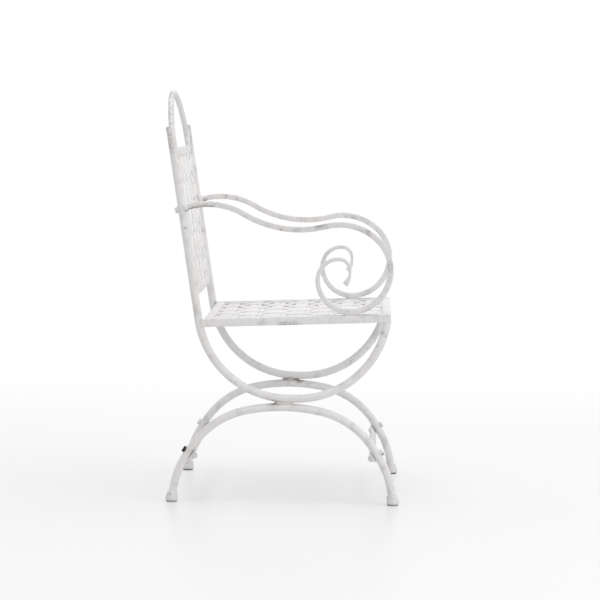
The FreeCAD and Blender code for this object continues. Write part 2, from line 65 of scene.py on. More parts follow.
def worn_white_paint(name, white, shade, bare_iron_and_shadow, wear, patch_size, grit):
    """Chalky white paint over dark iron, clouded, smudged and worn through in places, and darkened
    by painted shade at marked spots.

    wear is how far the scattered chips go, patch_size is the breadth of a worn
    patch in metres, and grit is the strength of the brush marks.
    """
    finish = bpy.data.materials.new(name)
    finish.use_nodes = True
    nodes = finish.node_tree.nodes
    links = finish.node_tree.links
    coat = nodes["Principled BSDF"]
    coat.inputs["Specular IOR Level"].default_value = 0.4
    place = nodes.new("ShaderNodeTexCoord")

    def mottle(size, detail, roughness):
        """Cloudy pattern whose blotches are about this size in metres."""
        cloud = nodes.new("ShaderNodeTexNoise")
        cloud.inputs["Scale"].default_value = 1.0 / size
        cloud.inputs["Detail"].default_value = detail
        cloud.inputs["Roughness"].default_value = roughness
        links.new(place.outputs["Object"], cloud.inputs["Vector"])
        return cloud.outputs["Fac"]

    def between(value, low, high, start=0.0, end=1.0):
        """Smooth rise from start to end as the value goes from low to high."""
        ramp = nodes.new("ShaderNodeMapRange")
        ramp.interpolation_type = "SMOOTHSTEP"
        ramp.inputs["From Min"].default_value = low
        ramp.inputs["From Max"].default_value = high
        ramp.inputs["To Min"].default_value = start
        ramp.inputs["To Max"].default_value = end
        links.new(value, ramp.inputs["Value"])
        return ramp.outputs[0]

    def combine(rule, first, second):
        """Product, sum or larger of two values."""
        step = nodes.new("ShaderNodeMath")
        step.operation = rule
        for i, value in enumerate((first, second)):
            if isinstance(value, float):
                step.inputs[i].default_value = value
            else:
                links.new(value, step.inputs[i])
        return step.outputs[0]

    def over(factor, under, top):
        """One colour laid over another."""
        mixer = nodes.new("ShaderNodeMix")
        mixer.data_type = "RGBA"
        links.new(factor, mixer.inputs["Factor"])
        for socket, colour in ((mixer.inputs["A"], under), (mixer.inputs["B"], top)):
            if isinstance(colour, tuple):
                socket.default_value = colour + (1.0,)
            else:
                links.new(colour, socket)
        return mixer.outputs["Result"]

    aged_white = tuple(part * tint for part, tint in zip(white, (0.985, 0.975, 0.96)))
    yellowing = between(mottle(0.14, 3.0, 0.5), 0.42, 0.66)
    smears = between(mottle(0.026, 4.0, 0.55), 0.48, 0.73, 0.0, 0.5)
    brushing = between(mottle(0.004, 4.0, 0.65), 0.45, 0.75, 0.0, 0.22)
    colour = over(yellowing, white, aged_white)
    colour = over(smears, colour, shade)
    colour = over(brushing, colour, shade)
    edges = nodes.new("ShaderNodeNewGeometry")
    edge = between(edges.outputs["Pointiness"], 0.53, 0.62)
    zone = between(mottle(patch_size, 3.0, 0.6), 0.50, 0.62)
    flecks = between(mottle(0.0045, 5.0, 0.75), 0.48, 0.62)
    chips = between(mottle(0.013, 4.0, 0.7), 0.61, 0.68)
    rubbed_edge = combine("MULTIPLY", combine("MULTIPLY", edge, zone), flecks)
    wide_zone = between(mottle(patch_size * 1.6, 2.0, 0.5), 0.55, 0.66)
    rubbed_spot = combine("MULTIPLY", chips, wide_zone)
    # The marked attribute below greys the paint and, where it is strong, lays on the dark colour:
    # worn spots in some places, painted shade and painted shadow lines in others.
    wear_and_shade = nodes.new("ShaderNodeAttribute")
    wear_and_shade.attribute_name = "wear_and_shade"
    grime_and_shade = combine("ADD", wear_and_shade.outputs["Fac"], mottle(0.009, 4.0, 0.6))
    colour = over(between(grime_and_shade, 0.62, 1.0, 0.0, 0.9), colour, shade)
    scraped_and_shade = combine("ADD", wear_and_shade.outputs["Fac"], mottle(0.005, 5.0, 0.7))
    worn_and_shaded_place = between(scraped_and_shade, 1.00, 1.25)
    scattered = combine("MULTIPLY", combine("MAXIMUM", rubbed_edge, rubbed_spot), wear)
    worn_and_shaded = combine("MAXIMUM", scattered, worn_and_shaded_place)
    colour = over(worn_and_shaded, colour, bare_iron_and_shadow)
    links.new(colour, coat.inputs["Base Color"])
    dull = between(mottle(0.012, 4.0, 0.6), 0.3, 0.7, 0.46, 0.70)
    links.new(combine("ADD", dull, combine("MULTIPLY", worn_and_shaded, 0.15)), coat.inputs["Roughness"])
    brush_marks = nodes.new("ShaderNodeBump")
    brush_marks.inputs["Strength"].default_value = grit
    brush_marks.inputs["Distance"].default_value = 0.0005
    links.new(mottle(0.0016, 4.0, 0.7), brush_marks.inputs["Height"])
    hammering = nodes.new("ShaderNodeBump")
    hammering.inputs["Strength"].default_value = 0.35
    hammering.inputs["Distance"].default_value = 0.0012
    links.new(mottle(0.016, 2.0, 0.5), hammering.inputs["Height"])
    links.new(brush_marks.outputs[0], hammering.inputs["Normal"])
    lost_coat = nodes.new("ShaderNodeBump")
    lost_coat.invert = True
    lost_coat.inputs["Strength"].default_value = 0.6
    lost_coat.inputs["Distance"].default_value = 0.0003
    links.new(worn_and_shaded, lost_coat.inputs["Height"])
    links.new(hammering.outputs[0], lost_coat.inputs["Normal"])
    links.new(lost_coat.outputs[0], coat.inputs["Normal"])
    return finish


def mark_wear_and_shade(piece, spots):
    """Mark spots of wear and of painted shade: (x, y, z, reach, strength)."""
    marks = piece.data.attributes.new("wear_and_shade", "FLOAT", "POINT")
    for vert, mark in zip(piece.data.vertices, marks.data):
        depth = 0.0
        for x, y, z, reach, strength in spots:
            near = max(0.0, 1.0 - (vert.co - Vector((x, y, z))).length / reach)
            depth = max(depth, strength * near * near * (3.0 - 2.0 * near))
        mark.value = depth


bar_paint = worn_white_paint(
    "bar_paint", white=(0.765, 0.753, 0.755), shade=(0.48, 0.468, 0.466),
    bare_iron_and_shadow=(0.30, 0.265, 0.24), wear=0.5, patch_size=0.055, grit=0.35,
)


def square_to(heading):
    """Unit vector in the XZ plane, a quarter turn up from a heading in degrees."""
    angle = math.radians(heading)
    return Vector((-math.sin(angle), 0.0, math.cos(angle)))


def start_ring(bm, point, heading, thickness, segments=32):
    """Round end of a bar, standing across its heading in the XZ plane."""
    verts = bmesh.ops.create_circle(
        bm, cap_ends=False, radius=thickness / 2.0, segments=segments,
    )["verts"]
    bmesh.ops.rotate(bm, verts=verts, matrix=Matrix.Rotation(math.radians(90.0 - heading), 3, "Y"))
    bmesh.ops.translate(bm, verts=verts, vec=point)
    return list({edge for vert in verts for edge in vert.link_edges})


def close_end(bm, ring, rounding=0.0):
    """Flat end face on a ring, with its edge rounded."""
    made = bmesh.ops.contextual_create(bm, geom=ring)["faces"]
    if rounding > 0.0:
        bmesh.ops.bevel(
            bm, geom=list(made[0].edges), offset=rounding, affect="EDGES",
            segments=3, profile=0.5, material=-1,
        )


def pull_ring(bm, ring, shift):
    """Draw an end ring straight out by a vector, and return the new end ring."""
    drawn = bmesh.ops.extrude_edge_only(bm, edges=ring)["geom"]
    verts = [item for item in drawn if isinstance(item, bmesh.types.BMVert)]
    bmesh.ops.translate(bm, verts=verts, vec=shift)
    edges = [item for item in drawn if isinstance(item, bmesh.types.BMEdge)]
    return [edge for edge in edges if all(vert in verts for vert in edge.verts)]


def swing_ring(bm, ring, centre, turn, steps):
    """Swing an end ring about a bend's centre, and return the new end ring."""
    verts = list({vert for edge in ring for vert in edge.verts})
    swept = bmesh.ops.spin(
        bm, geom=verts + ring, cent=centre, axis=(0.0, -1.0, 0.0),
        angle=turn, steps=steps, use_duplicate=False,
    )["geom_last"]
    return [item for item in swept if isinstance(item, bmesh.types.BMEdge)]


def bend_bar(bm, ring, point, heading, moves):
    """Draw an end ring along straight runs (length, 0) and bends (radius, turn)."""
    for size, turn in moves:
        if turn == 0:
            angle = math.radians(heading)
            run = Vector((math.cos(angle), 0.0, math.sin(angle))) * size
            pieces = max(1, round(size / run_step))
            for _ in range(pieces):
                ring = pull_ring(bm, ring, run / pieces)
            point = point + run
        else:
            radius = math.copysign(size, turn)
            centre = point + square_to(heading) * radius
            steps = max(2, round(abs(turn) / bend_step))
            ring = swing_ring(bm, ring, centre, math.radians(turn), steps)
            heading += turn
            point = centre - square_to(heading) * radius
    return ring


def finished(bm, name, material, cad_node):
    """Turn a bmesh into a shaded piece that stands for its CAD node."""
    bmesh.ops.remove_doubles(bm, verts=bm.verts, dist=merge_distance)
    bmesh.ops.recalc_face_normals(bm, faces=bm.faces)
    mesh = bpy.data.meshes.new(name)
    bm.to_mesh(mesh)
    bm.free()
    mesh.materials.append(material)
    for face in mesh.polygons:
        face.use_smooth = True
    mesh.set_sharp_from_angle(angle=sharp_corner)
    piece = bpy.data.objects.new(name, mesh)
    scene.collection.objects.link(piece)
    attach(piece, "root")
    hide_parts(cad_node)
    return piece


crown_half = math.radians(arch_crown_half)
splay = math.radians(leg_splay)
radius_gap = arch_crown_radius - arch_shoulder_radius
shoulder_x = radius_gap * math.sin(crown_half)
shoulder_z = arch_crown_height - arch_crown_radius + radius_gap * math.cos(crown_half)
spot_slope = math.atan(stretcher_width / 2.0 / arch_shoulder_radius)
spot_reach = math.hypot(arch_shoulder_radius, stretcher_width / 2.0)
stretcher_angle = math.asin((stretcher_height - shoulder_z) / spot_reach) + spot_slope
spot_x = math.sin(stretcher_angle) * stretcher_width
spot_z = -math.cos(stretcher_angle) * stretcher_width
leg_start_x = shoulder_x + spot_x + arch_shoulder_radius * math.cos(splay)
leg_start_z = shoulder_z + spot_z + arch_shoulder_radius * math.sin(splay)
foot_x = leg_start_x + leg_start_z * math.tan(splay)
leg_run = (leg_start_z - foot_sole) / math.cos(splay)
low_turn = math.degrees(stretcher_angle) - leg_splay
high_turn = 90.0 - arch_crown_half - math.degrees(stretcher_angle)
leg_heading = 90.0 - leg_splay
arch_moves = [
    (leg_run, 0), (arch_shoulder_radius, -low_turn), (stretcher_width, 0),
    (arch_shoulder_radius, -high_turn), (arch_crown_radius, -2.0 * arch_crown_half),
    (arch_shoulder_radius, -high_turn), (stretcher_width, 0),
    (arch_shoulder_radius, -low_turn), (leg_run, 0),
]
# Dark spots on each crown where it meets its saddle and bowl: painted shade in the gap between the
# parts.
arch_crown_shade = {
    "left": [(0.000, 0.247, 0.230, 0.012, 0.8), (0.030, 0.247, 0.229, 0.018, 1.0)],
    "right": [
        (-0.018, -0.254, 0.229, 0.016, 1.3), (-0.006, -0.254, 0.229, 0.012, 1.2),
        (0.036, -0.254, 0.227, 0.010, 1.1),
    ],
}
for side_name, side in sides.items():
    bm = bmesh.new()
    leg_end_x = middle_x - foot_x + foot_sole * math.tan(splay)
    leg_end = Vector((leg_end_x, side * half_width, foot_sole))
    ring = start_ring(bm, leg_end, leg_heading, bar_thickness)
    close_end(bm, ring)
    far_ring = bend_bar(bm, ring, leg_end, leg_heading, arch_moves)
    close_end(bm, far_ring)
    arch_name = side_name + "_leg_arch"
    arch = finished(bm, arch_name + "_bar", bar_paint, arch_name)
    mark_wear_and_shade(arch, arch_crown_shade[side_name])

# Foot caps. A short turned cup is pressed on the end of each leg and dressed
# flat on the ground. Painted with the legs, with a dark band at the bottom
# painted in as the contact shadow on the floor.
foot_paint = worn_white_paint(
    "foot_paint", white=(0.73, 0.72, 0.72), shade=(0.47, 0.46, 0.458),
    bare_iron_and_shadow=(0.035, 0.032, 0.030), wear=0.25, patch_size=0.03, grit=0.5,
)
cap_outline = [
    (0.0, 0.0222), (0.0105, 0.0222), (0.0114, 0.0218), (0.0120, 0.0208), (0.0122, 0.0190),
    (0.0125, 0.0165), (0.0131, 0.0135), (0.0137, 0.0108), (0.0140, 0.0085), (0.0139, 0.0062),
    (0.0136, 0.0045), (0.0131, 0.0032), (0.0123, 0.0018), (0.0112, 0.0004), (0.0104, -0.0010),
    (0.0100, -0.0060), (0.0, -0.0060),
]
sole_rounding = 0.0007
sole_shadow_height = 0.0038
sole_shadow_fade = 0.0018
sole_shadow_depth = {"left": 1.0, "right": 0.62}
# Dark spots at the top of the rear cups: painted shade where the leg enters the cup.
rear_cap_junction_shade = [
    (-0.245, -0.263, 0.0190, 0.0070, 0.66), (-0.253, -0.262, 0.0140, 0.0085, 0.6),
    (-0.246, 0.237, 0.0195, 0.0075, 0.7),
]


def turned(bm, outline, axis, steps):
    """Turn an outline about the object's X or Z axis, as on a lathe."""
    verts = [bm.verts.new(point) for point in outline]
    edges = [bm.edges.new(pair) for pair in zip(verts, verts[1:])]
    bmesh.ops.spin(
        bm, geom=verts + edges, cent=(0.0, 0.0, 0.0), axis=axis,
        angle=2.0 * math.pi, steps=steps, use_merge=True, use_duplicate=False,
    )


for end_name, end in ends.items():
    for side_name, side in sides.items():
        bm = bmesh.new()
        profile = [(radius, 0.0, height) for radius, height in cap_outline]
        turned(bm, profile, axis=(0.0, 0.0, 1.0), steps=48)
        bmesh.ops.remove_doubles(bm, verts=bm.verts, dist=merge_distance)
        bmesh.ops.rotate(bm, verts=bm.verts, matrix=Matrix.Rotation(-end * splay, 3, "Y"))
        cap_place = (middle_x + end * foot_x, side * half_width, 0.0)
        bmesh.ops.translate(bm, verts=bm.verts, vec=cap_place)
        sliced = bmesh.ops.bisect_plane(
            bm, geom=bm.verts[:] + bm.edges[:] + bm.faces[:],
            plane_co=(0.0, 0.0, 0.0), plane_no=(0.0, 0.0, -1.0), clear_outer=True,
        )
        sole = [item for item in sliced["geom_cut"] if isinstance(item, bmesh.types.BMEdge)]
        close_end(bm, sole, rounding=sole_rounding)
        foot_name = side_name + "_" + end_name + "_foot"
        cup = finished(bm, foot_name + "_cup", foot_paint, foot_name + "_cap")
        mark_wear_and_shade(cup, rear_cap_junction_shade)
        # Darken the bottom of each cup as painted contact shadow, fainter on the right-hand side.
        for vert, mark in zip(cup.data.vertices, cup.data.attributes["wear_and_shade"].data):
            sole_shadow = min(sole_shadow_depth[side_name], (sole_shadow_height - vert.co.z) / sole_shadow_fade)
            mark.value = max(mark.value, sole_shadow)

# Stretchers. Two flat iron bars from side to side lie against the inner faces
# of the shoulders, front and rear, and hold the two arches apart.
stretcher_thickness = 0.005
stretcher_paint = worn_white_paint(
    "stretcher_paint", white=(0.73, 0.72, 0.72), shade=(0.46, 0.45, 0.445),
    bare_iron_and_shadow=(0.20, 0.17, 0.15), wear=0.7, patch_size=0.05, grit=0.4,
)


def at_stretcher(end, side):
    """Turn +X outwards through the leg, with the origin at the shoulder bend's centre."""
    spot_middle_x = middle_x + end * (shoulder_x + spot_x / 2.0)
    centre = Vector((spot_middle_x, side * half_width, shoulder_z + spot_z / 2.0))
    outward = Vector((end * math.cos(stretcher_angle), 0.0, math.sin(stretcher_angle)))
    along = Vector((0.0, 1.0, 0.0))
    across = outward.cross(along)
    axes = Matrix((outward, along, across)).transposed().to_4x4()
    return Matrix.Translation(centre) @ axes


def flat_bar(bm, size_x, size_y, size_z, rounding=0.0008):
    """Bar of rectangular section with worn-round edges, centred on the origin."""
    made = bmesh.ops.create_cube(bm, size=1.0)
    bmesh.ops.scale(bm, verts=made["verts"], vec=(size_x, size_y, size_z))
    edges = list({edge for vert in made["verts"] for edge in vert.link_edges})
    bmesh.ops.bevel(
        bm, geom=edges, offset=rounding, affect="EDGES", segments=3, profile=0.5, material=-1,
    )


leg_inner = arch_shoulder_radius - bar_thickness / 2.0
leg_outer = arch_shoulder_radius + bar_thickness / 2.0
for end_name, end in ends.items():
    bm = bmesh.new()
    flat_bar(bm, stretcher_thickness, 2.0 * half_width + bar_thickness, stretcher_width)
    bmesh.ops.translate(bm, verts=bm.verts, vec=(leg_inner - stretcher_thickness / 2.0, 0.0, 0.0))
    bmesh.ops.transform(bm, verts=bm.verts, matrix=at_stretcher(end, 0.0))
    stretcher_name = end_name + "_stretcher"
    finished(bm, stretcher_name + "_bar", stretcher_paint, stretcher_name)

# Stretcher bolts. Black hexagon-head bolts pass through the legs and the flat
# bars, with a nut and a few threads inside. They are painted with the frame, and
# the paint has come off the heads on the right-hand side.
bolt_paint = worn_white_paint(
    "bolt_paint", white=(0.73, 0.72, 0.72), shade=(0.47, 0.46, 0.458),
    bare_iron_and_shadow=(0.022, 0.020, 0.018), wear=0.3, patch_size=0.02, grit=0.5,
)
bolt_thickness = 0.008
hex_flats = 0.013
hex_chamfer = 0.0008
head_thickness = 0.0055
head_seat = 0.0015
nut_thickness = 0.0065
bolt_overhang = 0.002
thread_rings = 3
thread_depth = 0.0005
tip_length = 0.0008
tip_taper = 0.0009
thread_overlap = 0.0005
head_middle_out = 0.003
bare_corner = Vector((0.003, 0.0, -0.004))


def hex_block(bm, near, far, open_end):
    """Hexagon along +X from near to far, with its corners turned off at the open end."""
    corner_radius = hex_flats / math.sqrt(3.0)
    verts = bmesh.ops.create_cone(
        bm, cap_ends=True, segments=6, radius1=corner_radius, radius2=corner_radius,
        depth=far - near,
    )["verts"]
    bmesh.ops.rotate(bm, verts=verts, matrix=Matrix.Rotation(math.radians(90.0), 3, "Y"))
    bmesh.ops.translate(bm, verts=verts, vec=((near + far) / 2.0, 0.0, 0.0))
    edges = {edge for vert in verts for edge in vert.link_edges}
    rim = [
        edge for edge in edges if all(abs(vert.co.x - open_end) < 0.00001 for vert in edge.verts)
    ]
    bmesh.ops.bevel(
        bm, geom=rim, offset=hex_chamfer, affect="EDGES", segments=2, profile=0.5, material=-1,
    )


def threaded_end(bm, near, far):
    """End of a bolt along -X past its nut, with turned thread rings."""
    radius = bolt_thickness / 2.0
    step = (far - near - tip_length) / thread_rings
    outline = [(far, 0.0, 0.0), (far, 0.0, radius)]
    for i in range(thread_rings):
        outline.append((far - step * (i + 0.5), 0.0, radius - thread_depth))
        outline.append((far - step * (i + 1.0), 0.0, radius))
    outline.append((near, 0.0, radius - tip_taper))
    outline.append((near, 0.0, 0.0))
    turned(bm, outline, axis=(1.0, 0.0, 0.0), steps=24)


def join_part(group, part, placed):
    """Put a small part in its place and add it to its group."""
    bmesh.ops.transform(part, verts=part.verts, matrix=placed)
    mesh = bpy.data.meshes.new("part")
    part.to_mesh(mesh)
    part.free()
    group.from_mesh(mesh)
    bpy.data.meshes.remove(mesh)


bm = bmesh.new()
bm_nuts = bmesh.new()
nut_far = leg_inner - stretcher_thickness
nut_near = nut_far - nut_thickness
head_far = leg_outer + head_thickness
for end in ends.values():
    for side in sides.values():
        part = bmesh.new()
        hex_block(part, leg_outer - head_seat, head_far, open_end=head_far)
        join_part(bm, part, at_stretcher(end, side))
        part = bmesh.new()
        threaded_end(part, nut_near - bolt_overhang, nut_near + thread_overlap)
        hex_block(part, nut_near, nut_far, open_end=nut_near)
        join_part(bm_nuts, part, at_stretcher(end, side))
heads = finished(bm, "stretcher_bolt_heads", bolt_paint, "stretcher_bolts")
finished(bm_nuts, "stretcher_bolt_nuts", bolt_paint, "stretcher_nuts")
head_middle = Vector((leg_outer + head_middle_out, 0.0, 0.0))
front_head = at_stretcher(ends["front"], sides["right"]) @ head_middle
rear_head = at_stretcher(ends["rear"], sides["right"]) @ head_middle
front_corner = front_head + bare_corner
mark_wear_and_shade(heads, [(*front_corner, 0.011, 1.6), (*rear_head, 0.030, 2.0)])

# Back posts and bowls. One round bar on each side comes down the back, sweeps
# under the seat in a round bowl and ends under the front corner of the seat.
seat_height = 0.421
seat_tilt = math.radians(2.4)
rail_size = 0.018
saddle_gap = 0.0015
post_lean = 9.1
post_top_height = 0.843
bowl_radius = 0.205
bowl_flat = 0.017
bowl_centre_x = 0.0185
bowl_end_turn = 84.0
post_top_rounding = 0.0035
lean = math.radians(post_lean)
bowl_centre_z = arch_crown_height + bar_thickness + saddle_gap + bowl_radius
post_foot_x = bowl_centre_x - bowl_flat / 2.0 - bowl_radius * math.cos(lean)
post_foot_z = bowl_centre_z - bowl_radius * math.sin(lean)
post_run = (post_top_height - post_foot_z) / math.cos(lean)
post_top_x = post_foot_x - post_run * math.sin(lean)
rail_overlap = 0.001
rail_underside = seat_height - rail_size / math.cos(seat_tilt) + rail_overlap
post_heading = post_lean - 90.0
post_moves = [
    (post_run, 0), (bowl_radius, 90.0 - post_lean), (bowl_flat, 0), (bowl_radius, bowl_end_turn),
]
# Entries at a height of 0.229 are painted shade where the bowls meet the saddles; the others are
# grey wear on the posts.
post_wear_and_shade = {
    "left": [
        (-0.255, 0.241, 0.8142, 0.016, 0.8), (-0.258, 0.241, 0.838, 0.040, 0.5),
        (-0.247, 0.241, 0.805, 0.025, 0.5), (-0.2500, 0.241, 0.7935, 0.010, 1.0),
        (-0.2430, 0.242, 0.7930, 0.010, 1.1), (0.004, 0.245, 0.229, 0.012, 0.8),
    ],
    "right": [
        (-0.264, -0.257, 0.835, 0.030, 0.45), (-0.258, -0.257, 0.80, 0.035, 0.45),
        (-0.250, -0.259, 0.79, 0.012, 0.55), (-0.014, -0.254, 0.229, 0.012, 0.9),
        (0.228, -0.258, 0.39, 0.012, 0.6),
    ],
}
for side_name, side in sides.items():
    bm = bmesh.new()
    top = Vector((middle_x + post_top_x, side * half_width, post_top_height))
    ring = start_ring(bm, top, post_heading, bar_thickness)
    far_ring = bend_bar(bm, ring, top, post_heading, post_moves)
    close_end(bm, ring, rounding=post_top_rounding)
    close_end(bm, far_ring)
    under_rail = Vector((middle_x, 0.0, rail_underside))
    front_part = [vert for vert in bm.verts if vert.co.x > middle_x]
    front_part += [edge for edge in bm.edges if all(vert.co.x > middle_x for vert in edge.verts)]
    front_part += [face for face in bm.faces if all(vert.co.x > middle_x for vert in face.verts)]
    sliced = bmesh.ops.bisect_plane(
        bm, geom=front_part, plane_co=under_rail,
        plane_no=(-math.sin(seat_tilt), 0.0, math.cos(seat_tilt)), clear_outer=True,
    )
    cut_rim = [item for item in sliced["geom_cut"] if isinstance(item, bmesh.types.BMEdge)]
    close_end(bm, cut_rim)
    post_name = side_name + "_back_post"
    post = finished(bm, post_name + "_bar", bar_paint, post_name)
    mark_wear_and_shade(post, post_wear_and_shade[side_name])

# Bowl saddles. A forged block between the crown of each arch and the bottom of
# each bowl, welded to both, carries the chair on its legs.
saddle_length = 0.038
saddle_width = 0.013
saddle_depth = 0.008
saddle_rounding = 0.0012
saddle_bead = 0.0042
saddle_bead_y = 0.0062
ripple_stretch = 0.25
ripple_height = 0.85
ripple_jitter = 0.18
saddle_z = arch_crown_height + bar_thickness / 2.0 + saddle_gap / 2.0
# Dark spots on the saddles: painted shade in the gap between arch crown and bowl.
saddle_shade = {
    "left": [(-0.004, 0.243, saddle_z, 0.014, 0.8), (0.022, 0.243, saddle_z, 0.018, 0.9)],
    "right": [(-0.012, -0.257, saddle_z, 0.010, 0.9)],
}


def weld_bead(bm, points, width, seed):
    """Row of overlapping weld ripples along a line of points."""
    dice = random.Random(seed)
    for point in points:
        blob = bmesh.ops.create_icosphere(bm, subdivisions=2, radius=width / 2.0)["verts"]
        wider, deeper = [1.0 + ripple_stretch * dice.random() for _ in range(2)]
        bmesh.ops.scale(bm, verts=blob, vec=(wider, deeper, ripple_height))
        jitter = Vector([(dice.random() - 0.5) * width * ripple_jitter for _ in range(3)])
        bmesh.ops.translate(bm, verts=blob, vec=Vector(point) + jitter)


def bead_line(start_x, length, y, z, gaps):
    """Evenly spaced points of a weld bead along X."""
    return [(start_x + length * i / gaps, y, z) for i in range(gaps + 1)]


for side_name, side in sides.items():
    bm = bmesh.new()
    flat_bar(bm, saddle_length, saddle_width, saddle_depth, saddle_rounding)
    bmesh.ops.translate(bm, verts=bm.verts, vec=(middle_x, side * half_width, saddle_z))
    for face in (-1.0, 1.0):
        line = bead_line(
            middle_x - saddle_length / 2.0, saddle_length,
            side * half_width + face * saddle_bead_y, saddle_z, gaps=12,
        )
        weld_bead(bm, line, saddle_bead, seed=11 + int(side) + int(face))
    saddle_name = side_name + "_bowl_saddle"
    saddle = finished(bm, saddle_name + "_block", bar_paint, saddle_name)
    mark_wear_and_shade(saddle, saddle_shade[side_name])

# Seat frame. Four square bars, mitred in front, coped and welded to the posts
# behind, tilted back a little. The edges are slightly rounded from the mill.
front_rail_x = 0.229
rear_rail_x = -0.172
rail_rounding = 0.0011
rail_cuts = 60
shortest_long_edge = 0.05
rail_cope = 0.004
rail_joint_drop = 0.012
rail_bead = 0.0038
rail_bead_gaps = 8
rail_bead_out = 0.0035
rail_bead_bow = 0.002
seat_turn = Matrix.Translation((middle_x, 0.0, seat_height)) @ Matrix.Rotation(-seat_tilt, 4, "Y")
post_behind = post_foot_x - (seat_height - rail_joint_drop - post_foot_z) * math.tan(lean)
rail_back = post_behind + bar_thickness / 2.0 - rail_cope


def mitred_bar(bm, corners):
    """Square bar with the given corners in the plane of the seat."""
    outline = [bm.verts.new((x, y, -rail_size)) for x, y in corners]
    base = bm.faces.new(outline)
    raised = bmesh.ops.extrude_face_region(bm, geom=[base])["geom"]
    verts = [item for item in raised if isinstance(item, bmesh.types.BMVert)]
    bmesh.ops.translate(bm, verts=verts, vec=(0.0, 0.0, rail_size))
    long_edges = [edge for edge in bm.edges if edge.calc_length() > shortest_long_edge]
    bmesh.ops.bevel(
        bm, geom=long_edges, offset=rail_rounding, affect="EDGES",
        segments=3, profile=0.5, material=-1,
    )
    long_edges = [edge for edge in bm.edges if edge.calc_length() > shortest_long_edge]
    bmesh.ops.subdivide_edges(bm, edges=long_edges, cuts=rail_cuts)


rail_front = front_rail_x + rail_size / 2.0
rail_inside = front_rail_x - rail_size / 2.0
rear_inside = rear_rail_x + rail_size / 2.0
outer_y = half_width + rail_size / 2.0
inner_y = half_width - rail_size / 2.0
rear_outside = rear_rail_x - rail_size / 2.0
# Left rail: a broad grey cast, painted shade as on the far half of the seat. Right rail: a dark
# line along the lower edge near the middle.
rail_shade_and_dark_line = {
    "left": [(x, 0.25, 0.425, 0.12, 0.32) for x in (-0.15, -0.03, 0.09, 0.21)],
    "right": [
        (-0.006 + 0.004 * i, -0.2575, 0.3985 + 0.00017 * i, 0.0066, 4.6 - 0.2 * abs(i - 4))
        for i in range(14)
    ],
}
for side_name, side in sides.items():
    bm = bmesh.new()
    mitred_bar(bm, [
        (rail_back, side * inner_y), (rail_inside, side * inner_y),
        (rail_front, side * outer_y), (rail_back, side * outer_y),
    ])
    bmesh.ops.transform(bm, verts=bm.verts, matrix=seat_turn)
    line = []
    for i in range(rail_bead_gaps + 1):
        off_middle = abs(2.0 * i / rail_bead_gaps - 1.0)
        bead_x = rail_back + rail_bead_out - rail_bead_bow * off_middle
        line.append((bead_x, side * (outer_y - rail_size * i / rail_bead_gaps)))
    beads = bmesh.new()
    weld_bead(beads, [(x, y, 0.0) for x, y in line], rail_bead, seed=21 + int(side))
    under = [(x, y, -rail_size) for x, y in line]
    weld_bead(beads, under, rail_bead, seed=25 + int(side))
    join_part(bm, beads, seat_turn)
    rail_name = side_name + "_seat_rail"
    rail = finished(bm, rail_name + "_bar", bar_paint, rail_name)
    mark_wear_and_shade(rail, rail_shade_and_dark_line[side_name])
bm = bmesh.new()
mitred_bar(bm, [
    (rail_inside, -inner_y), (rail_front, -outer_y), (rail_front, outer_y), (rail_inside, inner_y),
])
bmesh.ops.transform(bm, verts=bm.verts, matrix=seat_turn)
finished(bm, "front_seat_rail_bar", bar_paint, "front_seat_rail")
bm = bmesh.new()
mitred_bar(bm, [
    (rear_outside, -inner_y), (rear_inside, -inner_y),
    (rear_inside, inner_y), (rear_outside, inner_y),
])
bmesh.ops.transform(bm, verts=bm.verts, matrix=seat_turn)
finished(bm, "rear_seat_rail_bar", bar_paint, "rear_seat_rail")

# Seat weave. Flat iron straps, nine from back to front and seven across, are
# woven over and under each other and welded into the frame, flush with its top.
strap_width = 0.028
strap_thickness = 0.003
strap_rounding = 0.0009
strap_tuck = 0.0004
rise_step = 0.0025
flat_pieces = 3
long_count = 9
cross_count = 7
weave_lift = 0.00155
flat_half = strap_width / 2.0 + 0.0005
# Grey over the far half of the seat straps is painted shade.
far_half_shade = [(-0.10, 0.27, 0.41, 0.36, 0.34), (0.12, 0.27, 0.42, 0.36, 0.32)]
strap_paint = worn_white_paint(
    "strap_paint", white=(0.78, 0.77, 0.77), shade=(0.54, 0.53, 0.53),
    bare_iron_and_shadow=(0.36, 0.33, 0.31), wear=0.25, patch_size=0.07, grit=0.35,
)


def woven_strap(bm, start, end, crossings, first):
    """Strap along +X that rises over and dips under the straps it meets, at Y = 0."""
    stops = [(start, 0.0)]
    for i, crossing in enumerate(crossings):
        level = weave_lift if (i + first) % 2 == 0 else -weave_lift
        stops.append((crossing - flat_half, level))
        stops.append((crossing + flat_half, level))
    stops.append((end, 0.0))
    bmesh.ops.create_grid(bm, x_segments=1, y_segments=1, size=0.5)
    bmesh.ops.scale(bm, verts=bm.verts, vec=(strap_thickness, strap_width, 1.0))
    bmesh.ops.bevel(
        bm, geom=bm.verts[:], offset=strap_rounding, affect="VERTICES",
        segments=3, profile=0.5, material=-1,
    )
    bmesh.ops.rotate(bm, verts=bm.verts, matrix=Matrix.Rotation(math.radians(-90.0), 3, "Y"))
    bmesh.ops.translate(bm, verts=bm.verts, vec=(start, 0.0, 0.0))
    ring = list(bm.edges)
    for (x0, z0), (x1, z1) in zip(stops, stops[1:]):
        pieces = flat_pieces if z0 == z1 else max(2, round((x1 - x0) / rise_step))
        height = z0
        for i in range(pieces):
            share = (i + 1) / pieces
            smooth = share * share * (3.0 - 2.0 * share)
            here = z0 + (z1 - z0) * smooth
            ring = pull_ring(bm, ring, ((x1 - x0) / pieces, 0.0, here - height))
            height = here
    close_end(bm, ring)


def spread(low, high, count):
    """Middles of straps spread evenly over an opening."""
    pitch = (high - low) / count
    return [low + pitch * (i + 0.5) for i in range(count)]


